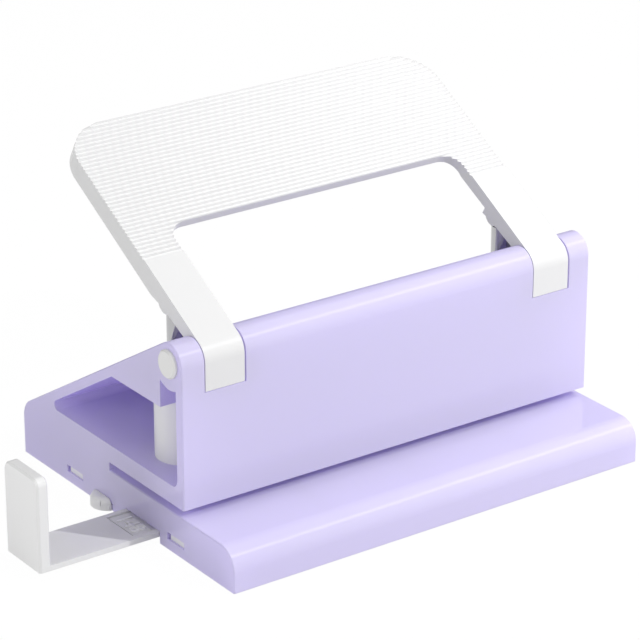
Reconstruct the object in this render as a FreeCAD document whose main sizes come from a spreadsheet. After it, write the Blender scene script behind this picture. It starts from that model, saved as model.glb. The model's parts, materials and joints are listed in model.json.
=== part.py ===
import FreeCAD, Part
import math
import os
import Sketcher

# Two-hole desk punch with a ribbed lever handle, sprung punch pins, a sliding
# paper guide and a chip tray that closes the base from below.
# The origin is on the table, midway between the axes of the two punch pins.
# +X runs along the body to the right, +Y towards the rear and +Z up.

doc = FreeCAD.newDocument("hole_punch")

# Driving dimensions, in millimetres and degrees
SIZES = {
    # Punching: hole spacing, hole width and distance from the paper's edge
    "hole_spacing": 80.0,
    "pin_width": 6.0,
    "throat_depth": 12.0,
    "throat_height": 1.8,
    # Body outline
    "body_length": 100.0,
    "front_reach": 32.0,
    "rear_reach": 45.4,
    "face_reach": 15.0,
    "base_height": 8.7,
    "deck_height": 14.4,
    "slope_angle": 31.2,
    "wall": 2.1,
    "base_wall": 2.0,
    "corner_round": 4.5,
    "edge_bevel": 0.2,
    "tunnel_rear_round": 1.1,
    "tunnel_front_round": 1.9,
    # Stiffening ribs in the base and the edge that they reach down to
    "rib_width": 1.2,
    "rib_spread": 48.0,
    "rib_low": 4.6,
    "rib_rear_low": 10.0,
    # Handle pivot, which is also the centre of the rounded nose
    "pivot_height": 40.0,
    "nose_radius": 4.2,
    "pivot_width": 4.0,
    "pivot_head": 5.9,
    "pivot_length": 17.5,
    # Blocks at both ends that guide the pins
    "block_length": 18.0,
    "block_front": 7.4,
    "block_underside": 29.75,
    "boss_radius": 5.5,
    "channel_width": 9.6,
    "channel_floor": 38.6,
    "foot_drop": 5.9,
    # Handle, measured along and square to its plate from the pivot
    "rest_angle": 30.0,
    "arm_width": 9.0,
    "plate_top": 4.1,
    "plate_underside": 0.95,
    "skin": 2.0,
    "rim": 1.8,
    "grip_reach": 56.8,
    "grip_corner": 9.0,
    "window_reach": 28.5,
    "window_corner": 4.0,
    "stiffener_width": 1.2,
    "stiffener_spread": 56.0,
    "stiffener_low": 0.4,
    "rib_start": 21.6,
    "rib_count": 35,
    "cam_radius": 2.2,
    "cam_reach": 12.34,
    "cam_lift": 1.77,
    # Punch pins and what surrounds them
    "pin_tip": 11.3,
    "pin_top": 45.45,
    "pin_bevel": 1.0,
    "pin_play": 0.05,
    "sleeve_width": 11.6,
    "sleeve_bore": 9.4,
    "sleeve_top": 29.7,
    "sleeve_roof": 1.6,
    "clip_top": 28.05,
    "clip_thickness": 0.9,
    "clip_width": 8.8,
    "washer_thickness": 0.5,
    "spring_wire": 0.9,
    "spring_width": 8.6,
    "spring_turns": 3.0,
    "bush_width": 9.4,
    "bush_height": 3.0,
    # Chip tray under the base
    "tray_plate": 1.2,
    "tray_gap": 0.3,
    "rail_height": 3.4,
    "tab_radius": 3.7,
    "tab_height": 2.5,
    "tab_middle": 14.8,
    "tab_centre": 48.7,
    "tray_axis": 47.2,
    "tab_half": 3.3,
    "hook_low": 2.1,
    "hook_high": 3.65,
    "hinge_height": 1.1,
    "knuckle_radius": 0.6,
    "lug_low": 0.9,
    "lug_height": 0.8,
    "rim_thickness": 1.0,
    "rim_height": 2.2,
    # Paper guide
    "guide_front": 6.0,
    "guide_rear": 6.4,
    "guide_low": 1.4,
    "guide_high": 2.5,
    "guide_outer": 77.0,
    "guide_plate": 2.45,
    "guide_top": 21.0,
    "guide_end": 38.0,
    "notch_height": 2.65,
    "mark_start": 55.2,
    "mark_front": 4.5,
    "mark_rear": 5.2,
    "mark_depth": 0.4,
}

sheet = doc.addObject("Spreadsheet::Sheet", "Sizes")
for row, (alias, number) in enumerate(SIZES.items(), start=1):
    sheet.set(f"A{row}", str(number))
    sheet.setAlias(f"A{row}", alias)
    sheet.set(f"B{row}", alias.replace("_", " "))
doc.recompute()

# Lengths worked out from the sheet, written as expressions
S = "Sizes."
HALF_BODY = f"({S}body_length / 2)"
HALF_PITCH = f"({S}hole_spacing / 2)"
PIVOT_BACK = f"({S}face_reach - {S}nose_radius)"
THROAT_TOP = f"({S}base_height + {S}throat_height)"
INNER_FACE = f"({S}face_reach - {S}wall)"
SIN = f"sin({S}slope_angle * 1deg)"
COS = f"cos({S}slope_angle * 1deg)"
CAVITY_FRONT = f"({S}front_reach - {S}base_wall)"
CAVITY_REAR = f"({S}rear_reach - {S}base_wall)"
CAVITY_HALF = f"({HALF_BODY} - {S}base_wall)"
LOW_ROOF = f"({S}base_height - {S}base_wall)"
HIGH_ROOF = f"({S}deck_height - {S}base_wall)"
BEYOND = f"({S}body_length)"

# Spans in Y of the tray's hooks at the left end and of its hinge lugs at the right end
HOOK_SPANS = (("-14.85", "-8.85"), ("22.35", "28.35"))
LUG_SPANS = (("-20", "-15"), ("26", "31"))
# Depth in the left end wall at which the hooks end
HOOK_LIP = "0.45"
# Middles in X of the lips that hold the guide's arm down
LIP_PLACES = ("-40", "-10", "20")


def slope_height(reach, depth="0"):
    """Height of the sloping top at a distance behind the pin line, or of a line under it."""
    return (f"({S}pivot_height + ({S}nose_radius - {depth} - ({reach} + {PIVOT_BACK}) * {SIN})"
            f" / {COS})")


def slope_reach(height, depth="0"):
    """Distance behind the pin line at which the sloping top has a height."""
    return (f"(({S}nose_radius - {depth} - ({height} - {S}pivot_height) * {COS}) / {SIN}"
            f" - {PIVOT_BACK})")


def value(expression):
    return float(FreeCAD.Units.Quantity(sheet.evalExpression(str(expression))).Value)


def origin_feature(body, role):
    return next(item for item in body.Origin.OriginFeatures if item.Role == role)


def new_body(label):
    body = doc.addObject("PartDesign::Body", label)
    body.Label = label
    return body


def new_sketch(body, name, role, offset=None):
    """Sketch on one of the body's origin planes, moved along the plane's normal."""
    sketch = body.newObject("Sketcher::SketchObject", name)
    sketch.AttachmentSupport = [(origin_feature(body, role), "")]
    sketch.MapMode = "FlatFace"
    if offset is not None:
        sketch.setExpression("AttachmentOffset.Base.z", str(offset))
    return sketch


def pin_point(sketch, geometry, vertex, corner):
    """Hold one point of a sketch at two distances from the origin."""
    for kind, distance in zip(("DistanceX", "DistanceY"), corner):
        index = sketch.addConstraint(
            Sketcher.Constraint(kind, -1, 1, geometry, vertex, value(distance)))
        sketch.setExpression(f"Constraints[{index}]", str(distance))


def outline(sketch, corners, arcs=None):
    """Closed outline through corners. arcs maps a side's number to (radius, centre)."""
    arcs = arcs or {}
    first = sketch.GeometryCount
    points = [FreeCAD.Vector(value(x), value(y), 0) for x, y in corners]
    count = len(points)
    starts = []
    for side in range(count):
        start, end = points[side], points[(side + 1) % count]
        if side not in arcs:
            sketch.addGeometry(Part.LineSegment(start, end))
            starts.append((1, 2))
            continue
        radius, middle, turn = arcs[side]
        centre = FreeCAD.Vector(value(middle[0]), value(middle[1]), 0)
        angles = [math.atan2(p.y - centre.y, p.x - centre.x) for p in (start, end)]
        if turn < 0:
            angles.reverse()
        circle = Part.Circle(centre, FreeCAD.Vector(0, 0, 1), value(radius))
        sketch.addGeometry(Part.ArcOfCircle(circle, angles[0], angles[1]))
        starts.append((1, 2) if turn > 0 else (2, 1))
    for side in range(count):
        following = (side + 1) % count
        sketch.addConstraint(Sketcher.Constraint(
            "Coincident", first + side, starts[side][1], first + following, starts[following][0]))
    for side, corner in enumerate(corners):
        pin_point(sketch, first + side, starts[side][0], corner)
    for side, (radius, middle, turn) in arcs.items():
        index = sketch.addConstraint(
            Sketcher.Constraint("Radius", first + side, value(radius)))
        sketch.setExpression(f"Constraints[{index}]", str(radius))


def rectangle(sketch, left, right, low, high):
    outline(sketch, [(left, low), (right, low), (right, high), (left, high)])


def circle(sketch, across, along, radius):
    centre = FreeCAD.Vector(value(across), value(along), 0)
    geometry = sketch.addGeometry(Part.Circle(centre, FreeCAD.Vector(0, 0, 1), value(radius)))
    pin_point(sketch, geometry, 3, (across, along))
    index = sketch.addConstraint(Sketcher.Constraint("Radius", geometry, value(radius)))
    sketch.setExpression(f"Constraints[{index}]", str(radius))


def feature(body, kind, name, sketch, length=None, side="One side", reverse=False):
    """Pad or pocket of a sketch; with no length it runs through everything."""
    item = body.newObject(f"PartDesign::{kind}", name)
    item.Profile = sketch
    item.SideType = side
    item.Reversed = reverse
    if length is None:
        item.Type = "ThroughAll"
    else:
        item.setExpression("Length", str(length))
    sketch.Visibility = False
    doc.recompute()
    return item


def pad(body, name, sketch, length, side="One side", reverse=False):
    return feature(body, "Pad", name, sketch, length, side, reverse)


def pocket(body, name, sketch, length=None, side="One side", reverse=False):
    before = body.Shape.Volume
    item = feature(body, "Pocket", name, sketch, length, side, reverse)
    if body.Shape.Volume > before - 1e-3:
        raise RuntimeError(f"{body.Label}: {name} cuts nothing")
    return item


def revolve(body, name, sketch, axis):
    item = body.newObject("PartDesign::Revolution", name)
    item.Profile = sketch
    item.ReferenceAxis = (sketch, [axis])
    item.Angle = 360
    doc.recompute()
    return item


def edges_where(shape, test):
    """Names of the edges whose middle point passes a test."""
    names = []
    for number, edge in enumerate(shape.Edges, start=1):
        middle = edge.valueAt((edge.FirstParameter + edge.LastParameter) / 2)
        if test(edge, middle):
            names.append(f"Edge{number}")
    return names


def soften(body, name, size, test, kind="Fillet"):
    base = body.Tip
    names = edges_where(base.Shape, test)
    if not names:
        raise RuntimeError(f"{body.Label}: {name} finds no edge")
    item = body.newObject(f"PartDesign::{kind}", name)
    item.Base = (base, names)
    item.setExpression("Radius" if kind == "Fillet" else "Size", str(size))
    doc.recompute()
    return item


def along(edge, axis):
    """True for a straight edge that runs along one axis."""
    if edge.Curve.TypeId != "Part::GeomLine":
        return False
    direction = edge.Curve.Direction
    return abs(getattr(direction, axis)) > 0.999


def near(number, expression, slack=0.05):
    return abs(number - value(expression)) < slack


def place(item, x="0", y="0", z="0"):
    for letter, distance in zip("xyz", (x, y, z)):
        item.setExpression(f"Placement.Base.{letter}", str(distance))


# Body housing: one moulding with a C-shaped side profile
def make_housing():
    body = new_body("body_housing")
    profile = new_sketch(body, "side_profile", "YZ_Plane")
    outline(profile, [
        (f"-{S}front_reach", "0"),
        (f"{S}rear_reach", "0"),
        (f"{S}rear_reach", slope_height(f"{S}rear_reach")),
        (f"-{S}face_reach", slope_height(f"-{S}face_reach")),
        (f"-{S}face_reach", THROAT_TOP),
        (f"{S}throat_depth", THROAT_TOP),
        (f"{S}throat_depth", f"{S}base_height"),
        (f"-{S}front_reach", f"{S}base_height"),
    ])
    pad(body, "moulding", profile, f"{S}body_length", "Symmetric")
    soften(body, "nose_round", f"{S}nose_radius",
           lambda edge, mid: along(edge, "x") and near(mid.y, f"-{S}face_reach")
           and mid.z > value(f"{S}pivot_height"))
    soften(body, "base_round", f"{S}corner_round",
           lambda edge, mid: along(edge, "x") and
           (near(mid.y, f"-{S}front_reach") or near(mid.y, f"{S}rear_reach")) and mid.z > 1)

    # Narrow bevels round both ends; the throat and the underside stay sharp
    soften(body, "end_bevel", f"{S}edge_bevel",
           lambda edge, mid: near(abs(mid.x), HALF_BODY, 0.01) and mid.z > 1
           and not (mid.y > -value(f"{S}face_reach") + 0.1
                    and value(f"{S}base_height") + 0.1 < mid.z < value(THROAT_TOP) + 0.1),
           "Chamfer")

    # Tunnel along the body under the sloping top, open at both ends
    tunnel = new_sketch(body, "tunnel_section", "YZ_Plane")
    boss_back = f"({PIVOT_BACK} - {S}block_front)"
    boss_front = f"({INNER_FACE} - {PIVOT_BACK})"
    outline(tunnel, [
        (f"-{INNER_FACE}", f"{S}deck_height"),
        (slope_reach(f"{S}deck_height", f"{S}wall"), f"{S}deck_height"),
        (slope_reach(f"{S}block_underside", f"{S}wall"), f"{S}block_underside"),
        (f"-{S}block_front", f"{S}block_underside"),
        (f"-{S}block_front", f"{S}pivot_height - sqrt({S}boss_radius^2 - {boss_back}^2)"),
        (f"-{INNER_FACE}", f"{S}pivot_height - sqrt({S}boss_radius^2 - {boss_front}^2)"),
    ], arcs={4: (f"{S}boss_radius", (f"-{PIVOT_BACK}", f"{S}pivot_height"), -1)})
    pocket(body, "tunnel", tunnel, BEYOND, "Symmetric")
    for name, reach in (("front", f"-{INNER_FACE}"),
                        ("rear", slope_reach(f"{S}deck_height", f"{S}wall"))):
        soften(body, f"tunnel_{name}_round", f"{S}tunnel_{name}_round",
               lambda edge, mid: along(edge, "x") and near(mid.z, f"{S}deck_height")
               and near(mid.y, reach))

    # Hollow behind the nose and slope between the two guide blocks
    core = new_sketch(body, "nose_core_section", "YZ_Plane")
    inner_radius = f"({S}nose_radius - {S}wall)"
    core_low = f"({S}block_underside - 5)"
    outline(core, [
        (f"-{INNER_FACE}", core_low),
        (slope_reach(core_low, f"{S}wall"), core_low),
        (f"-{PIVOT_BACK} + {inner_radius} * {SIN}", f"{S}pivot_height + {inner_radius} * {COS}"),
        (f"-{INNER_FACE}", f"{S}pivot_height"),
    ], arcs={2: (inner_radius, (f"-{PIVOT_BACK}", f"{S}pivot_height"), 1)})
    pocket(body, "nose_core", core, f"{S}body_length - 2 * {S}block_length", "Symmetric")

    # Bores that guide the pins through the block and the deck
    guide_bore = new_sketch(body, "pin_bore_section", "XY_Plane", THROAT_TOP)
    for sign in ("-", ""):
        circle(guide_bore, f"{sign}{HALF_PITCH}", "0", f"{S}pin_width / 2 + {S}pin_play")
    pocket(body, "pin_bore", guide_bore, f"{S}pivot_height", reverse=True)

    # Channels in the nose for the two handle arms
    hub_space = f"({S}plate_top + 0.5)"
    for side, sign in (("left", "-"), ("right", "")):
        channel = new_sketch(body, f"{side}_channel_section", "YZ_Plane",
                             f"{sign}{HALF_PITCH}")
        outline(channel, [
            (f"-{S}face_reach - 2", f"{S}pivot_height - {S}foot_drop"),
            (f"-{PIVOT_BACK} + {hub_space}", f"{S}pivot_height - {S}foot_drop"),
            (f"-{PIVOT_BACK} + {hub_space}", f"{S}channel_floor"),
            (f"{S}pin_width", f"{S}channel_floor"),
            (f"{S}pin_width", f"{S}pivot_height + 20"),
            (f"-{S}face_reach - 2", f"{S}pivot_height + 20"),
        ])
        pocket(body, f"{side}_channel", channel, f"{S}channel_width", "Symmetric")

    # Bore for the two pivot pins
    pivot = new_sketch(body, "pivot_bore_section", "YZ_Plane")
    circle(pivot, f"-{PIVOT_BACK}", f"{S}pivot_height", f"{S}pivot_width / 2 + 0.02")
    pocket(body, "pivot_bore", pivot, BEYOND, "Symmetric")

    # Space for chips inside the base, closed from below by the tray
    cavity = new_sketch(body, "cavity_section", "YZ_Plane")
    cavity_step = f"({S}throat_depth + {S}wall)"
    outline(cavity, [
        (f"-{CAVITY_FRONT}", "-1"),
        (CAVITY_REAR, "-1"),
        (CAVITY_REAR, slope_height(CAVITY_REAR, f"{S}wall")),
        (slope_reach(HIGH_ROOF, f"{S}wall"), HIGH_ROOF),
        (cavity_step, HIGH_ROOF),
        (cavity_step, LOW_ROOF),
        (f"-{CAVITY_FRONT}", LOW_ROOF),
    ])
    pocket(body, "chip_cavity", cavity, f"2 * {CAVITY_HALF}", "Symmetric")
    soften(body, "cavity_round", f"{S}corner_round - {S}base_wall",
           lambda edge, mid: along(edge, "x") and near(mid.y, f"-{CAVITY_FRONT}") and mid.z > 1)

    # Stiffening ribs across the roof of the cavity
    rib = new_sketch(body, "rib_section", "YZ_Plane", f"-{S}rib_spread / 2")
    rib_rear = f"{S}rib_rear_low"
    outline(rib, [
        (f"-{CAVITY_FRONT} - 0.6", f"{S}rib_low"),
        (f"{cavity_step} + 1", f"{S}rib_low"),
        (f"{cavity_step} + 1", rib_rear),
        (slope_reach(rib_rear, f"{S}wall"), rib_rear),
        (slope_reach(HIGH_ROOF, f"{S}wall"), f"{HIGH_ROOF} + 0.5"),
        (f"{cavity_step} - 0.5", f"{HIGH_ROOF} + 0.5"),
        (f"{cavity_step} - 0.5", f"{LOW_ROOF} + 0.5"),
        (f"-{CAVITY_FRONT} - 0.6", f"{LOW_ROOF} + 0.5"),
    ])
    first_rib = pad(body, "rib", rib, f"{S}rib_width", "Symmetric")
    ribs = body.newObject("PartDesign::LinearPattern", "ribs")
    ribs.Originals = [first_rib]
    ribs.Direction = (origin_feature(body, "X_Axis"), [""])
    ribs.setExpression("Length", f"{S}rib_spread")
    ribs.Occurrences = 3
    body.Tip = ribs
    doc.recompute()

    # Seats for the die bushes, with a ledge under each and a hole for the chips
    seat = f"({S}bush_width / 2 + 0.05)"
    boss = new_sketch(body, "die_boss_section", "XY_Plane", f"{LOW_ROOF} + 0.3")
    for sign in ("-", ""):
        circle(boss, f"{sign}{HALF_PITCH}", "0", f"{seat} + 1.8")
    pad(body, "die_boss", boss, "2.0", reverse=True)
    die_seat = new_sketch(body, "die_seat_section", "XY_Plane", f"{S}base_height")
    for sign in ("-", ""):
        circle(die_seat, f"{sign}{HALF_PITCH}", "0", seat)
    pocket(body, "die_seat", die_seat, f"{S}bush_height")
    chip_hole = new_sketch(body, "chip_hole_section", "XY_Plane", f"{S}base_height")
    for sign in ("-", ""):
        circle(chip_hole, f"{sign}{HALF_PITCH}", "0", f"{S}pin_width / 2 + 0.6")
    pocket(body, "chip_hole", chip_hole, f"{S}base_height")

    # Left end wall: windows for the tray's hooks, and notches for guide and tab
    windows = new_sketch(body, "window_section", "YZ_Plane", f"-{HALF_BODY}")
    for low, high in HOOK_SPANS:
        rectangle(windows, low, high, f"{S}hook_low", f"{S}hook_high")
    pocket(body, "hook_windows", windows, f"{S}base_wall + 0.1", reverse=True)
    relief = new_sketch(body, "hook_relief_section", "XY_Plane", "-0.1")
    for low, high in HOOK_SPANS:
        rectangle(relief, f"-{HALF_BODY} + {HOOK_LIP}", f"-{CAVITY_HALF} + 0.1",
                  f"{low} - 0.1", f"{high} + 0.1")
    pocket(body, "hook_relief", relief, f"{S}hook_high + 0.6", reverse=True)
    notches = new_sketch(body, "notch_section", "YZ_Plane", f"-{HALF_BODY}")
    rectangle(notches, f"-{S}guide_front - 0.2", f"{S}guide_rear + 0.2", "-0.1",
              f"{S}notch_height")
    tab_space = f"({S}tab_half + {S}tray_gap)"
    rectangle(notches, f"{S}tab_middle - {tab_space}", f"{S}tab_middle + {tab_space}", "-0.1",
              f"{S}tray_plate + 0.4")
    pocket(body, "end_notches", notches, f"{S}base_wall + 0.1", reverse=True)

    # Right end wall: pockets that hold the tray's hinge lugs
    lugs = new_sketch(body, "lug_section", "YZ_Plane", f"{CAVITY_HALF} - 0.1")
    for low, high in LUG_SPANS:
        rectangle(lugs, f"{low} - 0.3", f"{high} + 0.3", f"{S}lug_low - 0.3",
                  f"{S}lug_low + {S}lug_height + 1.5")
    pocket(body, "lug_pockets", lugs, "1.4", reverse=True)
    return body


# Handle: a flat U with ribs on the grip, built level and then tilted about its pivot
def make_handle():
    body = new_body("handle")
    width = f"({S}hole_spacing + {S}arm_width)"
    profile = new_sketch(body, "plate_section", "YZ_Plane")
    outline(profile, [
        ("0", f"{S}plate_top"),
        ("3.6", "0.95"),
        ("9.5", "0.62"),
        (f"{S}cam_reach + 1.6", "0.1"),
        (f"{S}cam_reach + 4.2", "-0.5"),
        (f"{S}rib_start - 1.1", f"-{S}plate_underside"),
        (f"{S}grip_reach", f"-{S}plate_underside"),
        (f"{S}grip_reach", f"{S}plate_top"),
    ])
    pad(body, "plate", profile, width, "Symmetric")
    hub = new_sketch(body, "hub_section", "YZ_Plane")
    circle(hub, "0", "0", f"{S}plate_top")
    pad(body, "hub", hub, width, "Symmetric")

    # Foot of each arm, upright at rest, that stands on the end of its channel
    foot = new_sketch(body, "foot_section", "YZ_Plane")
    foot.setExpression("AttachmentOffset.Rotation.Angle", f"-{S}rest_angle")
    outline(foot, [
        (f"-{S}plate_top", "0"),
        (f"-{S}plate_top", f"0.1 - {S}foot_drop"),
        ("-0.6", f"0.1 - {S}foot_drop"),
        ("0.6", "-3"),
        ("0.6", "0"),
    ])
    pad(body, "foot", foot, width, "Symmetric")

    # Space between the two arms, down to the grip
    window = new_sketch(body, "window_plan", "XY_Plane")
    inner = f"(({S}hole_spacing - {S}arm_width) / 2)"
    rectangle(window, f"-{inner}", inner, "-20", f"{S}window_reach")
    pocket(body, "window", window, f"{S}body_length", "Symmetric")
    soften(body, "window_round", f"{S}window_corner",
           lambda edge, mid: along(edge, "z") and near(mid.y, f"{S}window_reach"))
    soften(body, "grip_round", f"{S}grip_corner",
           lambda edge, mid: along(edge, "z") and near(mid.y, f"{S}grip_reach"))
    soften(body, "grip_bevel", "0.45",
           lambda edge, mid: near(mid.z, f"-{S}plate_underside") and
           (mid.y > value(f"{S}grip_reach") - 4 or along(edge, "y")), "Chamfer")

    # Hollow under the arms and the grip, inside a rim that follows the outer edge
    skin_low = f"({S}plate_top - {S}skin)"
    arms = new_sketch(body, "arm_hollow_section", "YZ_Plane")
    outline(arms, [
        (f"{S}cam_reach + 2.6", "-3"),
        (f"{S}cam_reach + 2.6", "1.4"),
        (f"{S}window_reach - 4.5", "1.15"),
        (f"{S}window_reach - 0.5", skin_low),
        (f"{S}window_reach + 1", skin_low),
        (f"{S}window_reach + 1", "-3"),
    ])
    pocket(body, "arm_hollow", arms, f"{width} - 2 * {S}rim", "Symmetric")
    grip = new_sketch(body, "grip_hollow_plan", "XY_Plane", skin_low)
    side = f"({width} / 2 - {S}rim)"
    far = f"({S}grip_reach - {S}rim)"
    bend = f"({S}grip_corner - {S}rim)"
    outline(grip, [
        (f"-{side}", f"{S}window_reach + 0.5"),
        (side, f"{S}window_reach + 0.5"),
        (side, f"{far} - {bend}"),
        (f"{side} - {bend}", far),
        (f"{bend} - {side}", far),
        (f"-{side}", f"{far} - {bend}"),
    ], arcs={
        2: (bend, (f"{side} - {bend}", f"{far} - {bend}"), 1),
        4: (bend, (f"{bend} - {side}", f"{far} - {bend}"), 1),
    })
    pocket(body, "grip_hollow", grip, "10")

    # Stiffening ribs inside the hollow
    stiffener = new_sketch(body, "stiffener_section", "YZ_Plane", f"-{S}stiffener_spread / 2")
    rectangle(stiffener, f"{S}window_reach + 1.5", f"{S}grip_reach - {S}rim + 0.5",
              f"{S}stiffener_low", f"{skin_low} + 0.3")
    first_stiffener = pad(body, "stiffener", stiffener, f"{S}stiffener_width", "Symmetric")
    stiffeners = body.newObject("PartDesign::LinearPattern", "stiffeners")
    stiffeners.Originals = [first_stiffener]
    stiffeners.Direction = (origin_feature(body, "X_Axis"), [""])
    stiffeners.setExpression("Length", f"{S}stiffener_spread")
    stiffeners.Occurrences = 5
    body.Tip = stiffeners
    doc.recompute()

    # Rounded cam across the full width of each arm, which presses on the pin
    for side, sign in (("left", "-"), ("right", "")):
        cam = new_sketch(body, f"{side}_cam_section", "YZ_Plane", f"{sign}{HALF_PITCH}")
        circle(cam, f"{S}cam_reach", f"{S}cam_lift", f"{S}cam_radius")
        pad(body, f"{side}_cam", cam, f"{S}arm_width", "Symmetric")

    # Sawtooth ribs: level treads and upright risers when the handle is raised
    pitch = f"(({S}grip_reach - {S}rib_start) / {S}rib_count)"
    tangent = f"tan({S}rest_angle * 1deg)"
    depth = f"({pitch} / (tan({S}rest_angle * 1deg) + 1 / tan({S}rest_angle * 1deg)))"
    tooth = new_sketch(body, "tooth_section", "YZ_Plane")
    outline(tooth, [
        (f"{S}rib_start", f"{S}plate_top"),
        (f"{S}rib_start + {pitch} - {depth} * {tangent}", f"{S}plate_top - {depth}"),
        (f"{S}rib_start + {pitch}", f"{S}plate_top"),
    ])
    first_tooth = pocket(body, "tooth", tooth, f"{S}body_length", "Symmetric")
    teeth = body.newObject("PartDesign::LinearPattern", "teeth")
    teeth.Originals = [first_tooth]
    teeth.Direction = (origin_feature(body, "Y_Axis"), [""])
    teeth.setExpression("Length", f"{pitch} * ({S}rib_count - 1)")
    teeth.setExpression("Occurrences", f"{S}rib_count")
    body.Tip = teeth
    doc.recompute()

    pivot = new_sketch(body, "pivot_section", "YZ_Plane")
    circle(pivot, "0", "0", f"{S}pivot_width / 2 + {S}pin_play")
    pocket(body, "pivot_bore", pivot, BEYOND, "Symmetric")
    body.Placement.Rotation = FreeCAD.Rotation(FreeCAD.Vector(1, 0, 0), value(f"{S}rest_angle"))
    body.setExpression("Placement.Rotation.Angle", f"{S}rest_angle")
    place(body, "0", f"-{PIVOT_BACK}", f"{S}pivot_height")
    return body


# Headed pin that carries one handle arm between its end wall and the inner wall
def make_pivot_pin(side):
    body = new_body(f"pivot_pin_{side}")
    section = new_sketch(body, "pin_section", "XY_Plane")
    head = f"({S}pivot_head / 2)"
    shank = f"({S}pivot_width / 2)"
    outline(section, [
        ("-0.8", "0"),
        ("-0.8", f"{head} - 0.35"),
        ("-0.45", head),
        ("0", head),
        ("0", shank),
        (f"{S}pivot_length - 0.4", shank),
        (f"{S}pivot_length", f"{shank} - 0.4"),
        (f"{S}pivot_length", "0"),
    ])
    revolve(body, "turned_pin", section, "H_Axis")
    turn = 0 if side == "left" else 180
    body.Placement = FreeCAD.Placement(
        FreeCAD.Vector(0, 0, 0), FreeCAD.Rotation(FreeCAD.Vector(0, 0, 1), turn))
    sign = "-" if side == "left" else ""
    place(body, f"{sign}{HALF_BODY}", f"-{PIVOT_BACK}", f"{S}pivot_height")
    return body


# Ground punch pin with a groove for its clip and a V-shaped cutting end
def make_punch_pin(side):
    body = new_body(f"punch_pin_{side}")
    section = new_sketch(body, "pin_section", "XZ_Plane")
    radius = f"({S}pin_width / 2)"
    groove = f"({radius} - 0.4)"
    clip_low = f"({S}clip_top - {S}clip_thickness)"
    outline(section, [
        ("0", f"{S}pin_tip"),
        (radius, f"{S}pin_tip"),
        (radius, clip_low),
        (groove, clip_low),
        (groove, f"{S}clip_top"),
        (radius, f"{S}clip_top"),
        (radius, f"{S}pin_top - {S}pin_bevel"),
        (f"{radius} - {S}pin_bevel", f"{S}pin_top"),
        ("0", f"{S}pin_top"),
    ])
    revolve(body, "turned_pin", section, "V_Axis")
    notch = new_sketch(body, "cutting_notch", "XZ_Plane")
    outline(notch, [
        (f"-{radius} - 0.1", f"{S}pin_tip - 0.1"),
        (f"{radius} + 0.1", f"{S}pin_tip - 0.1"),
        ("0", f"{S}pin_tip + 1.5"),
    ])
    pocket(body, "cutting_edge", notch, f"{S}pin_width * 2", "Symmetric")
    place(body, f"{'-' if side == 'left' else ''}{HALF_PITCH}")
    return body


# Open ring pressed into the pin's groove: it lifts the pin and stops it at rest
def make_clip(side):
    body = new_body(f"retaining_clip_{side}")
    clip_low = f"({S}clip_top - {S}clip_thickness)"
    ring = new_sketch(body, "ring_plan", "XY_Plane", clip_low)
    circle(ring, "0", "0", f"{S}clip_width / 2")
    circle(ring, "0", "0", f"{S}pin_width / 2 - 0.38")
    pad(body, "ring", ring, f"{S}clip_thickness - 0.02")
    mouth = new_sketch(body, "mouth_plan", "XY_Plane", clip_low)
    rectangle(mouth, "-1.9", "1.9", f"-{S}clip_width", "0")
    pocket(body, "mouth", mouth, f"{S}clip_thickness", reverse=True)
    place(body, f"{'-' if side == 'left' else ''}{HALF_PITCH}")
    return body


# Flat washer between the clip and the spring
def make_washer(side):
    body = new_body(f"spring_washer_{side}")
    low = f"({S}clip_top - {S}clip_thickness - {S}washer_thickness - 0.02)"
    plan = new_sketch(body, "washer_plan", "XY_Plane", low)
    circle(plan, "0", "0", f"{S}clip_width / 2")
    circle(plan, "0", "0", f"{S}pin_width / 2 + 0.1")
    pad(body, "washer", plan, f"{S}washer_thickness")
    place(body, f"{'-' if side == 'left' else ''}{HALF_PITCH}")
    return body


# Moulded sleeve that stands on the deck round the spring
def make_sleeve(side):
    body = new_body(f"spring_sleeve_{side}")
    section = new_sketch(body, "sleeve_section", "XZ_Plane")
    outer = f"({S}sleeve_width / 2)"
    inner = f"({S}sleeve_bore / 2)"
    outline(section, [
        (outer, f"{S}deck_height"),
        (outer, f"{S}sleeve_top"),
        (f"{S}pin_width / 2 + 0.1", f"{S}sleeve_top"),
        (f"{S}pin_width / 2 + 0.1", f"{S}sleeve_top - {S}sleeve_roof"),
        (inner, f"{S}sleeve_top - {S}sleeve_roof"),
        (inner, f"{S}deck_height"),
    ])
    revolve(body, "sleeve", section, "V_Axis")
    place(body, f"{'-' if side == 'left' else ''}{HALF_PITCH}")
    return body


# Hardened die bush: the hole that the pin cuts against, with relief below it
def make_die_bush(side):
    body = new_body(f"die_bush_{side}")
    section = new_sketch(body, "bush_section", "XZ_Plane")
    bore = f"({S}pin_width / 2 + 0.06)"
    low = f"({S}base_height - {S}bush_height)"
    outline(section, [
        (f"{S}bush_width / 2", low),
        (f"{S}bush_width / 2", f"{S}base_height"),
        (bore, f"{S}base_height"),
        (bore, f"{S}base_height - 1.4"),
        (f"{bore} + 0.4", low),
    ])
    revolve(body, "bush", section, "V_Axis")
    place(body, f"{'-' if side == 'left' else ''}{HALF_PITCH}")
    return body


def arc_between(start, tangent, end, towards):
    """Middle point of the arc that leaves start along tangent and ends at end."""
    control = start + tangent * towards
    half = (start + end) * 0.5
    first, chord = control - start, end - start
    cosine = first.dot(chord) / (first.Length * chord.Length)
    return (half + control * cosine) * (1 / (1 + cosine))


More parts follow.
